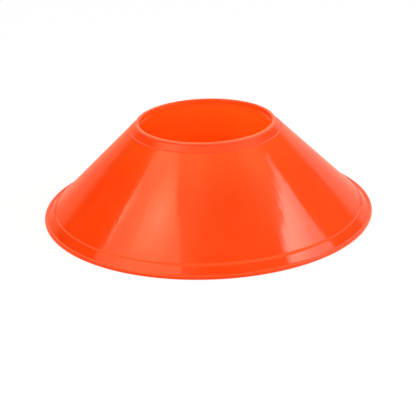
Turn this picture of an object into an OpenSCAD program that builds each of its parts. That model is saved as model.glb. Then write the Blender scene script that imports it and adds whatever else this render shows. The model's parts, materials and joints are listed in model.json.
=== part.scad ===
// Sports marker cone: a low, wide, open-topped cone, moulded in one piece.
// One section is turned about +Z: a rim to stand on with a rounded edge, a narrow
// groove, a hem that stands a little proud of the wall, a straight wall, a shallow
// collar and a rounded lip.
// The origin is at the centre of the rim, in the plane that the cone stands on.

/* [Rim and hem] */
// Outer diameter of the rim
base_d = 190; // [160:5:230]
// Width of the rim, from the bottom of the groove outwards
rim_w = 1.85; // [1.5:0.05:5]
// Height of the rim
rim_h = 2; // [1.5:0.1:2.8]
// Depth of the groove between the rim and the hem
groove_h = 0.5; // [0.2:0.1:0.8]
// Height of the top of the hem, where the crease begins
hem_h = 5.35; // [4.2:0.05:12]
// How far the hem stands out from the wall, measured level
hem_step = 0.7; // [0.4:0.1:1.2]
// Height over which the crease runs in from the hem to the wall
crease_h = 0.6; // [0:0.1:1]

/* [Wall] */
// Overall height of the cone
cone_h = 55; // [40:1:75]
// Thickness of the moulded wall, square to its face
wall_t = 1.6; // [1.1:0.1:2.2]

/* [Collar and lip] */
// Diameter of the opening
opening_d = 75; // [50:1:100]
// Thickness of the lip, from the opening outwards
lip_t = 2.4; // [1.8:0.1:3.2]
// Height of the upright wall inside the opening, below the rounding
land_h = 1.5; // [0.8:0.1:2.5]
// Height over which the lip thins to the wall inside
neck_h = 1; // [0.6:0.1:2]
// Height of the collar, from its step to the top of the lip
collar_h = 4.35; // [3.5:0.05:10]
// Depth of the collar's step, square to the wall
collar_step = 0.4; // [0.2:0.1:0.6]

/* [Roundings] */
// Radius on both edges of the lip
lip_round = 0.9; // [0.5:0.1:1]
// Radius on the outer upper edge of the rim
edge_round = 1; // [0.3:0.1:1.2]
// Radius on the edge between the rim and the groove
groove_round = 0.7; // [0.2:0.1:1]
// Radius at both ends of the crease
crease_round = 2; // [0.2:0.1:3]
// Radius inside the shell, where the neck meets the wall
inner_round = 1.2; // [0.4:0.1:2]
// Radius left on every small edge and corner by the mould
mould_round = 0.3; // [0.1:0.1:0.4]

/* [Hidden] */
// Facets round the turned shell
turn_fn = 240;
// Most degrees that a rounded corner turns in one straight step
arc_turn = 12;
// Share of a straight side that the roundings at its two ends may take up
side_share = 0.96;

base_r = base_d / 2;
opening_r = opening_d / 2;
lip_r = opening_r + lip_t;
shoulder_h = cone_h - lip_round;
land_low_h = shoulder_h - land_h;
step_h = cone_h - collar_h;

// A line is a pair of points. It runs upwards, so its right side faces out.
function along(line) = (line[1] - line[0]) / norm(line[1] - line[0]);
function outward(line) = [along(line).y, -along(line).x];
function shifted(line, depth) = [for (end = line) end - depth * outward(line)];
function level(h) = [[0, h], [base_r, h]];
function upright(r) = [[r, 0], [r, cone_h]];

// Point where two lines cross, past their ends if need be
function meet(a, b) =
    let (run_a = a[1] - a[0], run_b = b[1] - b[0])
    a[0] + run_a * cross(b[0] - a[0], run_b) / cross(run_a, run_b);

// Sloping faces of the shell. The hem's face is the wall's, moved outwards.
hem_foot = [base_r - rim_w, rim_h - groove_h];
hem_shift = [hem_step, 0];
wall_out = [hem_foot - hem_shift, [lip_r, shoulder_h]];
hem_out = [for (end = wall_out) end + hem_shift];
wall_in = shifted(wall_out, wall_t);
collar_out = shifted(wall_out, collar_step);

// Corners of the section, anticlockwise from the foot, each with its radius
section_corners = [
    [meet(wall_in, level(0)), mould_round],
    [[base_r, 0], mould_round],
    [[base_r, rim_h], edge_round],
    [hem_foot + [groove_h, groove_h], groove_round],
    [hem_foot, mould_round],
    [meet(hem_out, level(hem_h)), crease_round],
    [meet(wall_out, level(hem_h + crease_h)), crease_round],
    [meet(wall_out, level(step_h)), mould_round],
    [meet(collar_out, level(step_h)), mould_round],
    [meet(collar_out, upright(lip_r)), mould_round],
    [[lip_r, cone_h], lip_round],
    [[opening_r, cone_h], lip_round],
    [[opening_r, land_low_h], 0],
    [meet(wall_in, level(land_low_h - neck_h)), inner_round]
];

// How far the arc at a corner would reach along both of its sides
function reach(corners, i) =
    let (
        n = len(corners),
        p = corners[i][0],
        run_in = along([corners[(i + n - 1) % n][0], p]),
        run_out = along([p, corners[(i + 1) % n][0]])
    )
    corners[i][1] * tan(acos(run_in * run_out) / 2);

// Part of that reach for which the side from corner i to corner j has room
function room(corners, i, j) =
    side_share * norm(corners[i][0] - corners[j][0]) / (reach(corners, i) + reach(corners, j));

// Arc that rounds the corner at p, between its neighbours a and b
function corner_arc(a, p, b, tangent) =
    let (
        to_a = along([p, a]),
        to_b = along([p, b]),
        turn = 180 - acos(to_a * to_b),
        r = tangent / tan(turn / 2),
        centre = p + (to_a + to_b) / norm(to_a + to_b) * norm([tangent, r]),
        from_centre = p + to_a * tangent - centre,
        to_centre = p + to_b * tangent - centre,
        steps = ceil(turn / arc_turn)
    )
    [for (i = [0 : steps])
        let (swept = turn * i / steps)
        centre + (from_centre * sin(turn - swept) + to_centre * sin(swept)) / sin(turn)];

// Outline with every corner rounded that has a radius
function rounded(corners) =
    let (n = len(corners))
    [for (i = [0 : n - 1])
        let (
            before = (i + n - 1) % n,
            after = (i + 1) % n,
            p = corners[i][0],
            part = min(1, room(corners, i, before), room(corners, i, after)),
            tangent = part * reach(corners, i)
        )
        each tangent > 0 ? corner_arc(corners[before][0], p, corners[after][0], tangent) : [p]];

// The whole cone: one even shell, open at the top and underneath
module cone_shell() {
    color("orangered")
        rotate_extrude($fn = turn_fn)
            polygon(rounded(section_corners));
}

cone_shell();
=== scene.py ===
"""Looks of the sports marker cone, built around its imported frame.

The cone is one glossy orange moulding. Its section is worked out from the
frame and from the mould's own sizes, and Geometry Nodes turn it about the axis.
"""

import json
import math

import bpy
from mathutils import Matrix, Vector


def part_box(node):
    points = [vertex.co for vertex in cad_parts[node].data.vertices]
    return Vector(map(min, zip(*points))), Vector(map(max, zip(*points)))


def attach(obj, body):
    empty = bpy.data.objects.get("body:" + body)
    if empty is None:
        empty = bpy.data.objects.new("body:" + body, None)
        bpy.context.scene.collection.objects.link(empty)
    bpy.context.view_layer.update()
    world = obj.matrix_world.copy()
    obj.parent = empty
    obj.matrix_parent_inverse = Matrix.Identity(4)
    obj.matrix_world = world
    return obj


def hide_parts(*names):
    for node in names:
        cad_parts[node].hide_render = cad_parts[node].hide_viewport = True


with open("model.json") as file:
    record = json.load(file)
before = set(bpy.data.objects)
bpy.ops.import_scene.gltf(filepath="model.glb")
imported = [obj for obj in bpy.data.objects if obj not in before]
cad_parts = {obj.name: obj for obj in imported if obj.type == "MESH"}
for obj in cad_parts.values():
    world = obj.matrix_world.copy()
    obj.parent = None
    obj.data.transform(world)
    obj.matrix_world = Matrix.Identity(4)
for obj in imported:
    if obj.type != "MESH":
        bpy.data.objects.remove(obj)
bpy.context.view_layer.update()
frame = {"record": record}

MM = 0.001
NODE = "cone_shell"

# Sizes that the frame holds: the cone's outer radius, its height and the bore of its opening.
CONE_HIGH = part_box(NODE)[1]
BASE_R = CONE_HIGH.x
CONE_H = CONE_HIGH.z
BORE = next(m for m in frame["record"]["mounts"] if m["name"] == "top_opening")
OPENING_R = BORE["dims"]["r_mm"] * MM
LAND_H = BORE["dims"]["length_mm"] * MM

# Rim and hem: the rounded rim that the cone stands on, a groove, and the band above it.
RIM_W = 1.85 * MM
RIM_H = 2 * MM
GROOVE_H = 0.5 * MM
HEM_H = 5.35 * MM
HEM_STEP = 0.7 * MM
CREASE_H = 0.6 * MM
# Thickness of the wall, square to its face.
WALL_T = 1.6 * MM
# Collar and lip round the opening, and the height of the collar's step.
LIP_T = 2.4 * MM
NECK_H = 1 * MM
COLLAR_H = 4.35 * MM
COLLAR_STEP = 0.4 * MM
STEP_H = CONE_H - COLLAR_H
# Roundings of the edges.
LIP_ROUND = 0.9 * MM
EDGE_ROUND = 1 * MM
GROOVE_ROUND = 0.7 * MM
CREASE_ROUND = 2 * MM
STEP_ROUND = 0.6 * MM
INNER_ROUND = 1.2 * MM
MOULD_ROUND = 0.3 * MM

# Mesh of the turned shell: steps round the axis, steps in each rounded corner,
# the longest side of a face along the wall, and the gap from a corner to its guard ring.
TURNS = 400
CORNER_STEPS = 5
LONGEST_SIDE = 4 * MM
GUARD = 0.45 * MM


def add_object(name, data):
    """New object in the scene."""
    thing = bpy.data.objects.new(name, data)
    bpy.context.scene.collection.objects.link(thing)
    return thing


# The section of the moulding

def along(line):
    """Direction of a line of two points, which runs upwards."""
    return (line[1] - line[0]).normalized()


def shifted(line, depth):
    """The line, moved in from its outer side by depth."""
    run = along(line)
    outward = Vector((run.y, -run.x))
    return [end - depth * outward for end in line]


def level(height):
    """Level line at a height."""
    return [Vector((0, height)), Vector((BASE_R, height))]


def upright(radius):
    """Upright line at a radius."""
    return [Vector((radius, 0)), Vector((radius, CONE_H))]


def meet(a, b):
    """Point where two lines cross, past their ends if need be."""
    run_a = a[1] - a[0]
    run_b = b[1] - b[0]
    return a[0] + run_a * ((b[0] - a[0]).cross(run_b) / run_a.cross(run_b))


def section_corners():
    """Corners of the section, anticlockwise from the foot, each with its radius."""
    lip_r = OPENING_R + LIP_T
    shoulder_h = CONE_H - LIP_ROUND
    land_low_h = shoulder_h - LAND_H
    hem_foot = Vector((BASE_R - RIM_W, RIM_H - GROOVE_H))
    hem_shift = Vector((HEM_STEP, 0))
    wall_out = [hem_foot - hem_shift, Vector((lip_r, shoulder_h))]
    hem_out = [end + hem_shift for end in wall_out]
    wall_in = shifted(wall_out, WALL_T)
    collar_out = shifted(wall_out, COLLAR_STEP)
    return [
        (meet(wall_in, level(0)), MOULD_ROUND),
        (Vector((BASE_R, 0)), MOULD_ROUND),
        (Vector((BASE_R, RIM_H)), EDGE_ROUND),
        (hem_foot + Vector((GROOVE_H, GROOVE_H)), GROOVE_ROUND),
        (hem_foot, MOULD_ROUND),
        (meet(hem_out, level(HEM_H)), CREASE_ROUND),
        (meet(wall_out, level(HEM_H + CREASE_H)), CREASE_ROUND),
        (meet(wall_out, level(STEP_H)), STEP_ROUND),
        (meet(collar_out, level(STEP_H)), STEP_ROUND),
        (meet(collar_out, upright(lip_r)), MOULD_ROUND),
        (Vector((lip_r, CONE_H)), LIP_ROUND),
        (Vector((OPENING_R, CONE_H)), LIP_ROUND),
        (Vector((OPENING_R, land_low_h)), MOULD_ROUND),
        (meet(wall_in, level(land_low_h - NECK_H)), INNER_ROUND),
    ]


def corner_reach(before, corner, after, radius):
    """How far a rounded corner reaches along its sides."""
    turn = (corner - before).angle(after - corner)
    return radius * math.tan(turn / 2)


def side_points(start, end, start_reach, end_reach):
    """Points along a straight side: guard rings by its corners, and even steps between."""
    run = (end - start).length
    first = start_reach + GUARD
    last = run - end_reach - GUARD
    if last <= first:
        return []
    steps = max(1, math.ceil((last - first) / LONGEST_SIDE))
    shares = [(first + (last - first) * i / steps) / run for i in range(steps + 1)]
    return [start.lerp(end, share) for share in shares]


def section_loop():
    """The whole section as points with radii: rounded corners, and plain points on the sides."""
    corners = section_corners()
    count = len(corners)
    points = [point for point, radius in corners]
    reach = []
    for i, (point, radius) in enumerate(corners):
        reach.append(corner_reach(points[i - 1], point, points[(i + 1) % count], radius))
    loop = []
    for i, (point, radius) in enumerate(corners):
        after = (i + 1) % count
        loop.append((point, radius))
        loop += [(p, 0.0) for p in side_points(point, points[after], reach[i], reach[after])]
    return loop


def section_mesh():
    """Wire mesh of the section, with each corner's radius. The sweep below lays its
    first axis outwards from the turning circle, and its second axis down."""
    loop = section_loop()
    mesh = bpy.data.meshes.new("section")
    verts = [(point.x - BASE_R, -point.y, 0) for point, radius in loop]
    mesh.from_pydata(verts, [(i, (i + 1) % len(loop)) for i in range(len(loop))], [])
    radii = mesh.attributes.new("corner_radius", "FLOAT", "POINT")
    radii.data.foreach_set("value", [radius for point, radius in loop])
    return mesh


# Geometry Nodes that turn the section

def turning_tree():
    """Node tree that rounds the corners of a section and turns it about the axis."""
    tree = bpy.data.node_groups.new("turned_moulding", "GeometryNodeTree")
    for name, kind in (("Section", "Geometry"), ("Turning radius", "Float"), ("Turns", "Int"),
                       ("Corner steps", "Int"), ("Plastic", "Material")):
        tree.interface.new_socket(name, in_out="INPUT", socket_type="NodeSocket" + kind)
    tree.interface.new_socket("Shell", in_out="OUTPUT", socket_type="NodeSocketGeometry")
    add = tree.nodes.new
    link = tree.links.new
    sizes = add("NodeGroupInput")
    shell = add("NodeGroupOutput")

    outline = add("GeometryNodeMeshToCurve")
    radius = add("GeometryNodeInputNamedAttribute")
    radius.data_type = "FLOAT"
    radius.inputs["Name"].default_value = "corner_radius"
    corners = add("GeometryNodeFilletCurve")
    corners.mode = "POLY"
    corners.inputs["Limit Radius"].default_value = True
    link(sizes.outputs["Section"], outline.inputs["Mesh"])
    link(outline.outputs["Curve"], corners.inputs["Curve"])
    link(sizes.outputs["Corner steps"], corners.inputs["Count"])
    link(radius.outputs["Attribute"], corners.inputs["Radius"])

    # The section runs backwards round its corners, so that the faces point out.
    circle = add("GeometryNodeCurvePrimitiveCircle")
    backwards = add("GeometryNodeReverseCurve")
    sweep = add("GeometryNodeCurveToMesh")
    link(sizes.outputs["Turns"], circle.inputs["Resolution"])
    link(sizes.outputs["Turning radius"], circle.inputs["Radius"])
    link(circle.outputs["Curve"], sweep.inputs["Curve"])
    link(corners.outputs["Curve"], backwards.inputs["Curve"])
    link(backwards.outputs["Curve"], sweep.inputs["Profile Curve"])

    smooth = add("GeometryNodeSetShadeSmooth")
    real = add("GeometryNodeRealizeInstances")
    plastic = add("GeometryNodeSetMaterial")
    link(sweep.outputs["Mesh"], smooth.inputs["Geometry"])
    link(smooth.outputs["Geometry"], real.inputs["Geometry"])
    link(real.outputs["Geometry"], plastic.inputs["Geometry"])
    link(sizes.outputs["Plastic"], plastic.inputs["Material"])
    link(plastic.outputs["Geometry"], shell.inputs["Shell"])
    return tree


def set_inputs(modifier, values):
    """Sets a node modifier's inputs by their sockets' identifiers."""
    for item in modifier.node_group.interface.items_tree:
        if item.in_out == "INPUT" and item.name in values:
            modifier[item.identifier] = values[item.name]


def turned_shell(plastic):
    """The moulded shell as a plain mesh object."""
    source = add_object("section", section_mesh())
    modifier = source.modifiers.new("turning", "NODES")
    modifier.node_group = turning_tree()
    set_inputs(modifier, {"Turning radius": BASE_R, "Turns": TURNS,
                          "Corner steps": CORNER_STEPS, "Plastic": plastic})
    turned = source.evaluated_get(bpy.context.evaluated_depsgraph_get())
    mesh = bpy.data.meshes.new_from_object(turned)
    mesh.name = "marker_cone_shell"
    source.modifiers.remove(modifier)
    bpy.data.objects.remove(source)
    return add_object("marker_cone_shell", mesh)


# Helpers for the nodes of materials, lamps and the world

WHITE = (1, 1, 1, 1)
# Spans that hold the middle of a noise's values, and most of them.
MIDDLE = (0.35, 0.65)
MOST = (0.3, 0.7)


def feed(socket, value):
    """Gives an input a plain value, or another node's output to follow."""
    if isinstance(value, bpy.types.NodeSocket):
        socket.id_data.links.new(value, socket)
    else:
        socket.default_value = value


def calculate(nodes, operation, *terms):
    """Math node on numbers and sockets."""
    node = nodes.new("ShaderNodeMath")
    node.operation = operation
    for socket, term in zip(node.inputs, terms):
        feed(socket, term)
    return node.outputs["Value"]


def product(nodes, first, *others):
    """Numbers multiplied together."""
    for other in others:
        first = calculate(nodes, "MULTIPLY", first, other)
    return first


def calculate_vector(nodes, operation, *terms):
    """Vector Math node on vectors and sockets."""
    node = nodes.new("ShaderNodeVectorMath")
    node.operation = operation
    for socket, term in zip(node.inputs, terms):
        feed(socket, term)
    return node.outputs["Value" if operation in ("LENGTH", "DOT_PRODUCT") else "Vector"]


def axes(nodes, place):
    """The X, Y and Z of a place or direction, as three sockets."""
    split = nodes.new("ShaderNodeSeparateXYZ")
    feed(split.inputs["Vector"], place)
    return split.outputs


def level_vector(nodes, x, y=0):
    """Vector with no height."""
    node = nodes.new("ShaderNodeCombineXYZ")
    feed(node.inputs["X"], x)
    feed(node.inputs["Y"], y)
    return node.outputs["Vector"]


def noise(nodes, place, scale, detail, roughness=0.5, output="Fac"):
    """Noise texture on a place."""
    texture = nodes.new("ShaderNodeTexNoise")
    feed(texture.inputs["Vector"], place)
    feed(texture.inputs["Scale"], scale)
    feed(texture.inputs["Detail"], detail)
    feed(texture.inputs["Roughness"], roughness)
    return texture.outputs[output]


def remap(nodes, value, span, ends, kind="LINEAR"):
    """Value moved from a span to other ends, and held between them."""
    node = nodes.new("ShaderNodeMapRange")
    node.interpolation_type = kind
    feed(node.inputs["Value"], value)
    for name, number in zip(("From Min", "From Max", "To Min", "To Max"), (*span, *ends)):
        feed(node.inputs[name], number)
    return node.outputs["Result"]


def fade(nodes, value, span, ends=(0, 1)):
    """Value moved smoothly between two ends while it crosses a span."""
    return remap(nodes, value, span, ends, "SMOOTHSTEP")


def mix(nodes, share, first, second, kind="FLOAT"):
    """Number between two numbers, by a share."""
    node = nodes.new("ShaderNodeMix")
    node.data_type = kind
    feed(node.inputs["Factor"], share)
    feed(node.inputs["A"], first)
    feed(node.inputs["B"], second)
    return node.outputs["Result"]


def blend(nodes, share, first, second):
    """Colour between two colours, by a share."""
    return mix(nodes, share, first, second, "RGBA")


def bump(nodes, height, distance, strength, under=None):
    """Bump of a real height in metres, on top of another one."""
    node = nodes.new("ShaderNodeBump")
    feed(node.inputs["Height"], height)
    feed(node.inputs["Distance"], distance)
    feed(node.inputs["Strength"], strength)
    if under is not None:
        feed(node.inputs["Normal"], under)
    return node.outputs["Normal"]


def emission(nodes, colour, strength):
    """Shader that shines by itself."""
    node = nodes.new("ShaderNodeEmission")
    feed(node.inputs["Color"], colour)
    feed(node.inputs["Strength"], strength)
    return node.outputs["Emission"]


def mix_shader(nodes, share, first, second):
    """Shader between two shaders, by a share."""
    node = nodes.new("ShaderNodeMixShader")
    feed(node.inputs["Fac"], share)
    feed(node.inputs[1], first)
    feed(node.inputs[2], second)
    return node.outputs["Shader"]


# Orange plastic

# Colours: its deeper and paler clouds, a painted glow towards the top that stands in for light
# through the wall, scuffs, a painted shade line in the corner of the collar's step, and a painted
# highlight along the lip's edge.
DEEP = (0.985, 0.058, 0.0030, 1)
PALE = (0.995, 0.065, 0.0038, 1)
TOP_GLOW = (0.998, 0.079, 0.0060, 1)
SCUFFED = (0.995, 0.092, 0.0130, 1)
STEP_SHADE = (0.900, 0.044, 0.0030, 1)
LIP_HIGHLIGHT = (0.998, 0.150, 0.0500, 1)

# Body of the plastic: how it bends light, how milky it is, how deep light spreads in it, and
# the shares of that depth for red, green and blue.
REFRACTION = 1.5
MILKY = 0.25
MILKY_DEPTH = 4 * MM
MILKY_SHARES = (1.0, 0.35, 0.15)

# Patterns, each with its fineness, its finer layers and, where given, how rough those are.
CLOUDS = (28, 3)
GRAIN = (900, 2)
FLOW = (11, 3, 0.6)
WAVES = (40, 1)
RIPPLES = (110, 2)
# How fast the flow lines change along the wall, against round the axis.
FLOW_DRIFT = (2, 2, 2)

# Scuffs follow the edges of cells: the fineness of the cells, the noise that bends them and
# by how much in metres, the width of a line as a share of a cell, the noise whose rare
# patches hold the lines, and the values that make a patch.
SCUFF_CELLS = 45
SCUFF_SWIRL = (30, 2)
SCUFF_BEND = (0.02, 0.02, 0.02)
SCUFF_LINE = (0.012, 0.002)
SCUFF_PATCHES = (60, 2)
SCUFF_RARE = (0.56, 0.66)
# How much of their own colour the scuffs show.
SCUFF_SHARE = 0.35

# Painted glow on the upper wall, a paler colour that stands in for light let through the wall:
# the heights over which it begins and ends, and how much of it the collar keeps.
TOP_GLOW_RISE = (0.55 * CONE_H, 0.9 * CONE_H)
TOP_GLOW_FADE = (STEP_H, CONE_H - 0.8 * COLLAR_H)
COLLAR_GLOW = 0.2
# Painted highlight along the lip's edge: the heights and radii over which it begins, and how even it
# is.
LIP_TOP = (CONE_H - LIP_ROUND, CONE_H - 0.4 * LIP_ROUND)
LIP_OUTER = (OPENING_R + 0.3 * LIP_T, OPENING_R + 0.55 * LIP_T)
LIP_EVEN = (0.7, 1)
# Painted shade line in the corner of the collar's step: the distances from the step over which it
# begins, and how even it is.
STEP_SHADE_REACH = (0.55 * MM, 0.15 * MM)
STEP_SHADE_EVEN = (0.5, 1)

# Roughness: its ends in the clouds, and what flow lines, grain and scuffs add.
CLOUDS_ROUGH = (0.055, 0.085)
FLOW_ROUGH = 0.02
GRAIN_ROUGH = 0.02
SCUFFS_ROUGH = 0.12
# Heights over which the rim and the collar are worn, and what the wear adds.
RIM_WORN = (1.1 * RIM_H, 0.6 * RIM_H)
RIM_ROUGH = 0.12
COLLAR_WORN = (STEP_H - 0.3 * MM, STEP_H)
COLLAR_ROUGH = 0.1

# Relief: the height of each pattern in metres and its strength.
WAVES_RELIEF = (0.3 * MM, 0.35)
RIPPLES_RELIEF = (0.1 * MM, 0.6)
FLOW_RELIEF = (0.2 * MM, 0.6)
SCUFFS_RELIEF = (0.01 * MM, 0.4)
GRAIN_RELIEF = (0.01 * MM, 0.4)


def flow_lines(nodes, place, level_place):
    """Lines that the plastic left as it flowed down the mould: noise that is stretched
    along the wall, by the direction round the axis."""
    facing = calculate_vector(nodes, "NORMALIZE", level_place)
    stretched = calculate_vector(nodes, "MULTIPLY_ADD", place, FLOW_DRIFT, facing)
    return noise(nodes, stretched, *FLOW)


def scuffs(nodes, place):
    """Share, from 0 to 1, of a few thin curved scuffs."""
    swirl = noise(nodes, place, *SCUFF_SWIRL, output="Color")
    cells = nodes.new("ShaderNodeTexVoronoi")
    cells.feature = "DISTANCE_TO_EDGE"
    feed(cells.inputs["Scale"], SCUFF_CELLS)
    feed(cells.inputs["Vector"], calculate_vector(nodes, "MULTIPLY_ADD", swirl, SCUFF_BEND, place))
    line = fade(nodes, cells.outputs["Distance"], SCUFF_LINE)
    rare = fade(nodes, noise(nodes, place, *SCUFF_PATCHES), SCUFF_RARE)
    return product(nodes, line, rare)


def plastic_tone(nodes, height, radius, cloudy, flow, scuffed):
    """Colour of the plastic. Pigment lies a little unevenly and use has left scuffs. A painted glow
    makes the wall paler towards the collar's step, a painted shade line darkens the step's
    corner, and a painted highlight lies along the lip's edge."""
    tone = blend(nodes, remap(nodes, cloudy, MIDDLE, (0, 1)), DEEP, PALE)
    # Painted glow: the wall is paler towards the top, standing in for light let through it.
    top_glow = product(nodes, fade(nodes, height, TOP_GLOW_RISE),
                      fade(nodes, height, TOP_GLOW_FADE, (1, COLLAR_GLOW)))
    tone = blend(nodes, top_glow, tone, TOP_GLOW)
    tone = blend(nodes, product(nodes, scuffed, SCUFF_SHARE), tone, SCUFFED)
    # Painted highlight: a paler band along the lip's edge.
    lip_highlight = product(nodes, fade(nodes, height, LIP_TOP), fade(nodes, radius, LIP_OUTER),
                     remap(nodes, flow, MOST, LIP_EVEN))
    tone = blend(nodes, lip_highlight, tone, LIP_HIGHLIGHT)
    # Painted shade: a darker line in the corner of the collar's step.
    off_step = calculate(nodes, "ABSOLUTE", calculate(nodes, "SUBTRACT", height, STEP_H))
    step_shade = product(nodes, fade(nodes, off_step, STEP_SHADE_REACH), remap(nodes, cloudy, MOST, STEP_SHADE_EVEN))
    return blend(nodes, step_shade, tone, STEP_SHADE)


def plastic_roughness(nodes, height, cloudy, flow, grain, scuffed):
    """Cloudy gloss, duller on scuffs and where the rim, the collar and the lip are rubbed."""
    rough = remap(nodes, cloudy, MIDDLE, CLOUDS_ROUGH)
    for pattern, added in ((flow, FLOW_ROUGH), (grain, GRAIN_ROUGH), (scuffed, SCUFFS_ROUGH)):
        rough = calculate(nodes, "MULTIPLY_ADD", pattern, added, rough)
    for worn, added in ((RIM_WORN, RIM_ROUGH), (COLLAR_WORN, COLLAR_ROUGH)):
        rough = calculate(nodes, "ADD", rough, fade(nodes, height, worn, (0, added)))
    return rough


def plastic_relief(nodes, place, flow, grain, scuffed):
    """Waves and ripples of the moulded face, with flow lines, scuffs and grain on them."""
    normal = None
    for pattern, relief in ((noise(nodes, place, *WAVES), WAVES_RELIEF),
                            (noise(nodes, place, *RIPPLES), RIPPLES_RELIEF),
                            (flow, FLOW_RELIEF),
                            (scuffed, SCUFFS_RELIEF),
                            (grain, GRAIN_RELIEF)):
        normal = bump(nodes, pattern, *relief, under=normal)
    return normal


def orange_plastic():
    """Glossy orange polyethylene: clouds of pigment, waves and flow lines from the mould,
    a fine grain, a few scuffs, and a rim and lip that are rubbed dull by use and by stacking.
    Its colour also holds a painted glow towards the top, a painted shade line in the collar's
    step and a painted highlight along the lip's edge."""
    material = bpy.data.materials.new("orange_plastic")
    material.use_nodes = True
    nodes = material.node_tree.nodes
    place = nodes.new("ShaderNodeTexCoord").outputs["Object"]
    x, y, height = axes(nodes, place)
    level_place = level_vector(nodes, x, y)
    radius = calculate_vector(nodes, "LENGTH", level_place)
    cloudy = noise(nodes, place, *CLOUDS)
    grain = noise(nodes, place, *GRAIN)
    flow = flow_lines(nodes, place, level_place)
    scuffed = scuffs(nodes, place)
    shader = nodes["Principled BSDF"].inputs
    feed(shader["IOR"], REFRACTION)
    feed(shader["Subsurface Weight"], MILKY)
    feed(shader["Subsurface Radius"], MILKY_SHARES)
    feed(shader["Subsurface Scale"], MILKY_DEPTH)
    feed(shader["Base Color"], plastic_tone(nodes, height, radius, cloudy, flow, scuffed))
    feed(shader["Roughness"], plastic_roughness(nodes, height, cloudy, flow, grain, scuffed))
    feed(shader["Normal"], plastic_relief(nodes, place, flow, grain, scuffed))
    return material


# Room

# Even light of the room on dull surfaces, and how much more comes from the right.
AMBIENT = 0.97
AMBIENT_SIDE = 0.4
# The room in reflections is set by direction, whose three parts run from -1 to 1. Colour of
# its light at the left and at the right, and the span over which left changes to right.
ROOM_TINT = ((2.7, 0.98, 0.60, 1), (2.1, 1, 0.84, 1))
ROOM_SIDES = (-0.3, 0.3)
# Brightness of the dark room at the left and towards the right, and its own span.
ROOM_DARK = (0.02, 0.09)
ROOM_DARK_SPAN = (-0.7, 0)
# Pale backdrop near the horizon: its brightness at the left and at the right, and the span
# upwards over which it fades.
BACKDROP = (0.37, 0.52)
BACKDROP_FADE = (0.30, 0.18)
# Panel straight behind the cone, which shows in the lip: its brightness, and the spans over
# which it begins backwards, sideways and upwards.
PANEL = 1.1
PANEL_NEAR = (0.40, 0.60)
PANEL_SIDES = (0.58, 0.45)
PANEL_LOW = (0.25, 0.33)
# Pale ceiling: its brightness and colour, the direction that its edge is square to, and the
# spans over which it begins across that edge and upwards.
CEILING = 0.85
CEILING_TINT = (1, 1, 0.5, 1)
CEILING_EDGE = (-0.289, 0.894, 0.343)
CEILING_FADE = (-0.08, 0.06)
CEILING_LOW = (0.62, 0.78)


def room_in_gloss(nodes, direction):
    """Colour and brightness of the room in reflections, by direction."""
    sideways, backwards, upwards = axes(nodes, direction)
    backdrop = product(nodes, fade(nodes, upwards, BACKDROP_FADE),
                       fade(nodes, sideways, ROOM_SIDES, BACKDROP))
    dark = fade(nodes, sideways, ROOM_DARK_SPAN, ROOM_DARK)
    aside = calculate(nodes, "ABSOLUTE", sideways)
    panel = product(nodes, fade(nodes, backwards, PANEL_NEAR, (0, PANEL)),
                    fade(nodes, aside, PANEL_SIDES), fade(nodes, upwards, PANEL_LOW))
    walls = calculate(nodes, "MAXIMUM", calculate(nodes, "MAXIMUM", backdrop, dark), panel)
    past_edge = calculate_vector(nodes, "DOT_PRODUCT", direction, CEILING_EDGE)
    ceiling = product(nodes, fade(nodes, past_edge, CEILING_FADE), fade(nodes, upwards, CEILING_LOW))
    tint = blend(nodes, fade(nodes, sideways, ROOM_SIDES), *ROOM_TINT)
    return blend(nodes, ceiling, tint, CEILING_TINT), mix(nodes, ceiling, walls, CEILING)


def studio_world():
    """White to the camera, an even light on dull surfaces, and a pale room in reflections."""
    world = bpy.data.worlds.new("studio")
    bpy.context.scene.world = world
    world.use_nodes = True
    nodes = world.node_tree.nodes
    path = nodes.new("ShaderNodeLightPath").outputs
    direction = nodes.new("ShaderNodeTexCoord").outputs["Generated"]
    sideways = axes(nodes, direction)[0]
    ambient = calculate(nodes, "MULTIPLY_ADD", sideways, AMBIENT_SIDE, AMBIENT)
    glossy = calculate(nodes, "MAXIMUM", path["Is Glossy Ray"], path["Is Transmission Ray"])
    room_tint, room_brightness = room_in_gloss(nodes, direction)
    strength = mix(nodes, glossy, ambient, room_brightness)
    background = nodes["Background"].inputs
    feed(background["Color"], blend(nodes, glossy, WHITE, room_tint))
    feed(background["Strength"], mix(nodes, path["Is Camera Ray"], strength, 1))


# Floor

# Half of the floor's side, in metres.
FLOOR_HALF = 30
# Colour of the floor, in the light that it throws back: at the left and at the right of the
# cone, with the span in metres over which left changes to right. It is painted light, darker at
# the left and brighter at the right, as light that falls off towards the left.
FLOOR_SIDE_LIGHT = ((0.36, 0.35, 0.24, 1), (0.50, 0.50, 0.46, 1))
FLOOR_SIDES = (-0.3, 0.3)
# Painted pool of light on the floor close round the rim, which throws more light back onto
# the rim, and the radii over which it begins.
FLOOR_RIM_LIGHT = (0.95, 0.90, 0.70, 1)
FLOOR_RIM_LIGHT_REACH = (1.2 * BASE_R, BASE_R)
FLOOR_ROUGH = 0.9
# Colour of the same floor to the camera, and the share of plain white in what the camera
# sees. The rest keeps the shadow.
FLOOR_WHITE = (0.95, 0.95, 0.95, 1)
CAMERA_WHITE = 0.87
# Brightness of the floor in reflections: in front of the cone, beside it at the left and
# right, and far away at the left and right.
GLOSS_FRONT = 0.22
GLOSS_LEFT = 0.75
GLOSS_RIGHT = 1.3
GLOSS_FAR = (0.44, 0.52)
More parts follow.
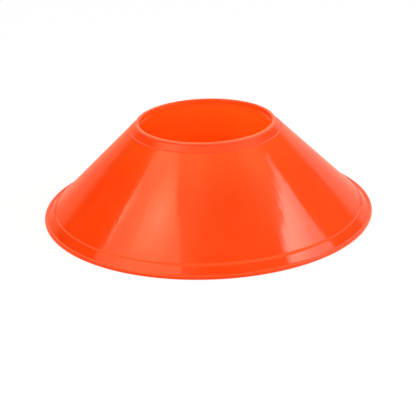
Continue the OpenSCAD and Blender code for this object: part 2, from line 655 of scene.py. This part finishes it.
# Spans over which those change: to the left, to the right, across the far floor, and
# backwards past the cone. Under the cone it is dark, within the last span of radii.
LEFT_SPAN = (-0.3 * BASE_R, -0.9 * BASE_R)
RIGHT_SPAN = (0.3 * BASE_R, 0.9 * BASE_R)
FAR_SPAN = (-BASE_R, BASE_R)
BEHIND_SPAN = (-0.1 * BASE_R, 0.5 * BASE_R)
UNDER_SPAN = (0.92 * BASE_R, 0.98 * BASE_R)


def floor_in_gloss(nodes, sideways, backwards, from_middle):
    """Brightness of the floor in reflections, by place: dim in front, bright at the sides."""
    left = fade(nodes, sideways, LEFT_SPAN, (GLOSS_FRONT, GLOSS_LEFT))
    right = fade(nodes, sideways, RIGHT_SPAN, (GLOSS_FRONT, GLOSS_RIGHT))
    near = calculate(nodes, "MAXIMUM", left, right)
    far = fade(nodes, sideways, FAR_SPAN, GLOSS_FAR)
    ground = mix(nodes, fade(nodes, backwards, BEHIND_SPAN), near, far)
    return product(nodes, ground, fade(nodes, from_middle, UNDER_SPAN))


def floor_paper():
    """Pale floor, which shows white to the camera and keeps a faint shadow."""
    material = bpy.data.materials.new("floor_paper")
    material.use_nodes = True
    nodes = material.node_tree.nodes
    path = nodes.new("ShaderNodeLightPath").outputs
    place = nodes.new("ShaderNodeTexCoord").outputs["Object"]
    sideways, backwards = axes(nodes, place)[:2]
    from_middle = calculate_vector(nodes, "LENGTH", place)
    rightness = fade(nodes, sideways, FLOOR_SIDES)
    # Painted pool of light on the floor close round the rim.
    rim_light = fade(nodes, from_middle, FLOOR_RIM_LIGHT_REACH)
    # Painted light: the floor's colour is darker at the left, brighter at the right, and brighter
    # still round the rim.
    tone = blend(nodes, rim_light, blend(nodes, rightness, *FLOOR_SIDE_LIGHT), FLOOR_RIM_LIGHT)
    paper = nodes["Principled BSDF"]
    feed(paper.inputs["Base Color"], blend(nodes, path["Is Camera Ray"], tone, FLOOR_WHITE))
    feed(paper.inputs["Roughness"], FLOOR_ROUGH)
    feed(paper.inputs["Specular IOR Level"], 0)
    shine = emission(nodes, blend(nodes, rightness, *ROOM_TINT),
                     floor_in_gloss(nodes, sideways, backwards, from_middle))
    glossy = mix_shader(nodes, path["Is Glossy Ray"], paper.outputs["BSDF"], shine)
    white_share = product(nodes, path["Is Camera Ray"], CAMERA_WHITE)
    seen = mix_shader(nodes, white_share, glossy, emission(nodes, WHITE, 1))
    feed(nodes["Material Output"].inputs["Surface"], seen)
    return material


def studio_floor():
    """Plain floor under the cone."""
    signs = ((-1, -1), (1, -1), (1, 1), (-1, 1))
    corners = [(x * FLOOR_HALF, y * FLOOR_HALF, 0) for x, y in signs]
    mesh = bpy.data.meshes.new("floor")
    mesh.from_pydata(corners, [], [(0, 1, 2, 3)])
    mesh.materials.append(floor_paper())
    return add_object("floor", mesh)


# Lamps. On a lamp's face, across and up run from 0 to 1.

# Power of a lamp for each square metre that gives its face a brightness of 1.
PLAIN_POWER = math.pi
# Cloth on the lamps: the folds in its hem, the softness of its edge, and its uneven weave,
# which is drawn out along the lamp's height, with the span of light that it lets through.
FOLDS = (11, 3, 0.8)
CLOTH_EDGE = (1.02, 0.96)
WEAVE_STRETCH = (9, 2.5, 1)
WEAVE = (1, 2)
CLOTH_SHARE = (0.88, 1.12)
# Share of a bare strip's width over which it is fully bright.
BARE_FULL = 0.6
# Spans across the inner lamp in which its left and right sides grow brighter.
GLOW_LEFT = (0.3, 0)
GLOW_RIGHT = (0.7, 1)


def hot_spot(nodes, place, centre, lean, stretch, reach, middle, rim):
    """Brightness over a lamp's face: highest at a place on it, and lower away from it. The
    bright spot is drawn out along a leaning line, by lean in degrees and stretch."""
    turned = nodes.new("ShaderNodeMapping")
    turned.vector_type = "TEXTURE"
    feed(turned.inputs["Vector"], place)
    feed(turned.inputs["Location"], (*centre, 0))
    feed(turned.inputs["Rotation"], (0, 0, math.radians(lean)))
    feed(turned.inputs["Scale"], (1, 1 / stretch, 1))
    apart = calculate_vector(nodes, "LENGTH", turned.outputs["Vector"])
    return remap(nodes, apart, (0, reach), (middle, rim))


def draped_top(nodes, across, up, wobble, span=(0, 1), drop=0):
    """Share of the light that gets past a cloth over the lamp's top edge. The cloth hangs
    lower by drop past a span, and its hem is wavy."""
    hanging = calculate(nodes, "ADD", up, fade(nodes, across, span, (0, drop)))
    row = noise(nodes, level_vector(nodes, across), *FOLDS)
    folds = remap(nodes, row, MOST, (-wobble, wobble))
    return fade(nodes, calculate(nodes, "ADD", hanging, folds), CLOTH_EDGE)


def bare_side(nodes, across, up, width, low, high, extra):
    """Extra light of a lamp's left side, where the cloth leaves it bare between two heights."""
    strip = fade(nodes, across, (width, BARE_FULL * width), (0, extra))
    return product(nodes, strip, fade(nodes, up, low), fade(nodes, up, high))


def uneven_cloth(nodes, place):
    """Slightly uneven brightness of the lamp's cloth."""
    stretched = calculate_vector(nodes, "MULTIPLY", place, WEAVE_STRETCH)
    return remap(nodes, noise(nodes, stretched, *WEAVE), MOST, CLOTH_SHARE)


def lamp_nodes(data):
    """A lamp's nodes, and the place on its face."""
    data.use_nodes = True
    nodes = data.node_tree.nodes
    return nodes, nodes.new("ShaderNodeNewGeometry").outputs["Parametric"]


def lamp_face(data, hot, drape, bare=None):
    """Gives a lamp a hot spot, uneven cloth, a draped top edge and perhaps a bare left side."""
    nodes, place = lamp_nodes(data)
    across, up = axes(nodes, place)[:2]
    bright = hot_spot(nodes, place, **hot)
    if bare:
        bright = calculate(nodes, "ADD", bright, bare_side(nodes, across, up, **bare))
    strength = product(nodes, bright, uneven_cloth(nodes, place),
                       draped_top(nodes, across, up, **drape))
    feed(nodes["Emission"].inputs["Strength"], strength)


def leaned(across, up, degrees):
    """Two directions that are square to each other, turned from the first to the second."""
    lean = math.radians(degrees)
    return (math.cos(lean) * across + math.sin(lean) * up,
            math.cos(lean) * up - math.sin(lean) * across)


def placed(place, across, up, back):
    """Matrix that puts an object at a place, with its axes along three directions."""
    return Matrix.Translation(place) @ Matrix((across, up, back)).transposed().to_4x4()


def softbox(name, azimuth, elevation, distance, roll, sides, heights, tint):
    """Rectangular lamp that faces the cone from an azimuth (0 is the front, to the right is
    positive) and an elevation. Its sides and heights are in shares of its distance."""
    around = math.radians(azimuth)
    above = math.radians(elevation)
    out = Vector((math.sin(around) * math.cos(above), -math.cos(around) * math.cos(above),
                  math.sin(above)))
    level_across = Vector((0, 0, 1)).cross(out).normalized()
    across, up = leaned(level_across, out.cross(level_across), roll)
    middle = out + across * sum(sides) / 2 + up * sum(heights) / 2
    data = bpy.data.lights.new(name, "AREA")
    data.shape = "RECTANGLE"
    data.size = (sides[1] - sides[0]) * distance
    data.size_y = (heights[1] - heights[0]) * distance
    data.energy = PLAIN_POWER * data.size * data.size_y
    data.color = tint
    lamp = add_object(name, data)
    lamp.matrix_world = placed(middle * distance, across, up, out)
    lamp.visible_camera = False
    return data


def inner_glow(height, radius, radiance, tint, left_share, right_share):
    """Soft lamp on the floor inside the cone, brighter by the shares at its left and right
    sides. It stands in for the light that thin plastic lets through, and shows neither by
    itself nor as a reflection."""
    data = bpy.data.lights.new("inner_glow", "AREA")
    data.shape = "DISK"
    data.size = 2 * radius
    data.energy = PLAIN_POWER * radiance * math.pi * radius ** 2
    data.color = tint
    nodes, place = lamp_nodes(data)
    across = axes(nodes, place)[0]
    left = fade(nodes, across, GLOW_LEFT, (1, left_share))
    right = fade(nodes, across, GLOW_RIGHT, (1, right_share))
    feed(nodes["Emission"].inputs["Strength"], calculate(nodes, "MAXIMUM", left, right))
    lamp = add_object("inner_glow", data)
    lamp.matrix_world = Matrix.Translation((0, 0, height)) @ Matrix.Rotation(math.pi, 4, "X")
    lamp.visible_camera = False
    lamp.visible_glossy = False


def studio_lamps():
    """The softboxes at the right and at the left, and the glow inside the cone."""
    right = softbox("right_softbox", azimuth=75, elevation=30, distance=0.6, roll=-3,
                    sides=(-0.15, 0.35), heights=(-0.05, 0.33), tint=(1, 1, 0.87))
    lamp_face(right,
              hot=dict(centre=(0.31, 0.9), lean=-14, stretch=2.2, reach=0.77, middle=6.1, rim=2.05),
              drape=dict(wobble=0.06, span=(-0.08, 0.45), drop=0.12))
    left = softbox("left_softbox", azimuth=-50, elevation=30, distance=0.4, roll=-16.6,
                   sides=(-0.665, 0.35), heights=(-0.05, 0.56), tint=(1, 0.98, 0.58))
    lamp_face(left,
              hot=dict(centre=(0.475, 0.71), lean=63, stretch=2.55, reach=0.37, middle=3.55, rim=0.98),
              drape=dict(wobble=0.05),
              bare=dict(width=0.11, low=(0.15, 0.26), high=(0.48, 0.38), extra=2.3))
    inner_glow(height=2 * MM, radius=80 * MM, radiance=1.05, tint=(1, 1, 0.65),
               left_share=2, right_share=9)


# Camera

# Width of the camera's sensor in millimetres.
SENSOR = 36


def camera(place, aim, lens, roll):
    """Camera at a place, aimed at a point, with a lens in millimetres and a roll in degrees."""
    data = bpy.data.cameras.new("camera")
    data.lens = lens
    data.sensor_width = SENSOR
    ahead = (Vector(aim) - Vector(place)).normalized()
    level_right = ahead.cross(Vector((0, 0, 1))).normalized()
    right, up = leaned(level_right, level_right.cross(ahead), roll)
    view = add_object("camera", data)
    view.matrix_world = placed(Vector(place), right, up, -ahead)
    bpy.context.scene.camera = view


shell = turned_shell(orange_plastic())
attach(shell, "root")
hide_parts(NODE)

studio_floor()
studio_world()
studio_lamps()
camera(place=(0, -0.68842, 0.28877), aim=(-0.000155, 0, 0.000507), lens=110.39, roll=-1.893)

bpy.context.scene.view_settings.view_transform = "Standard"
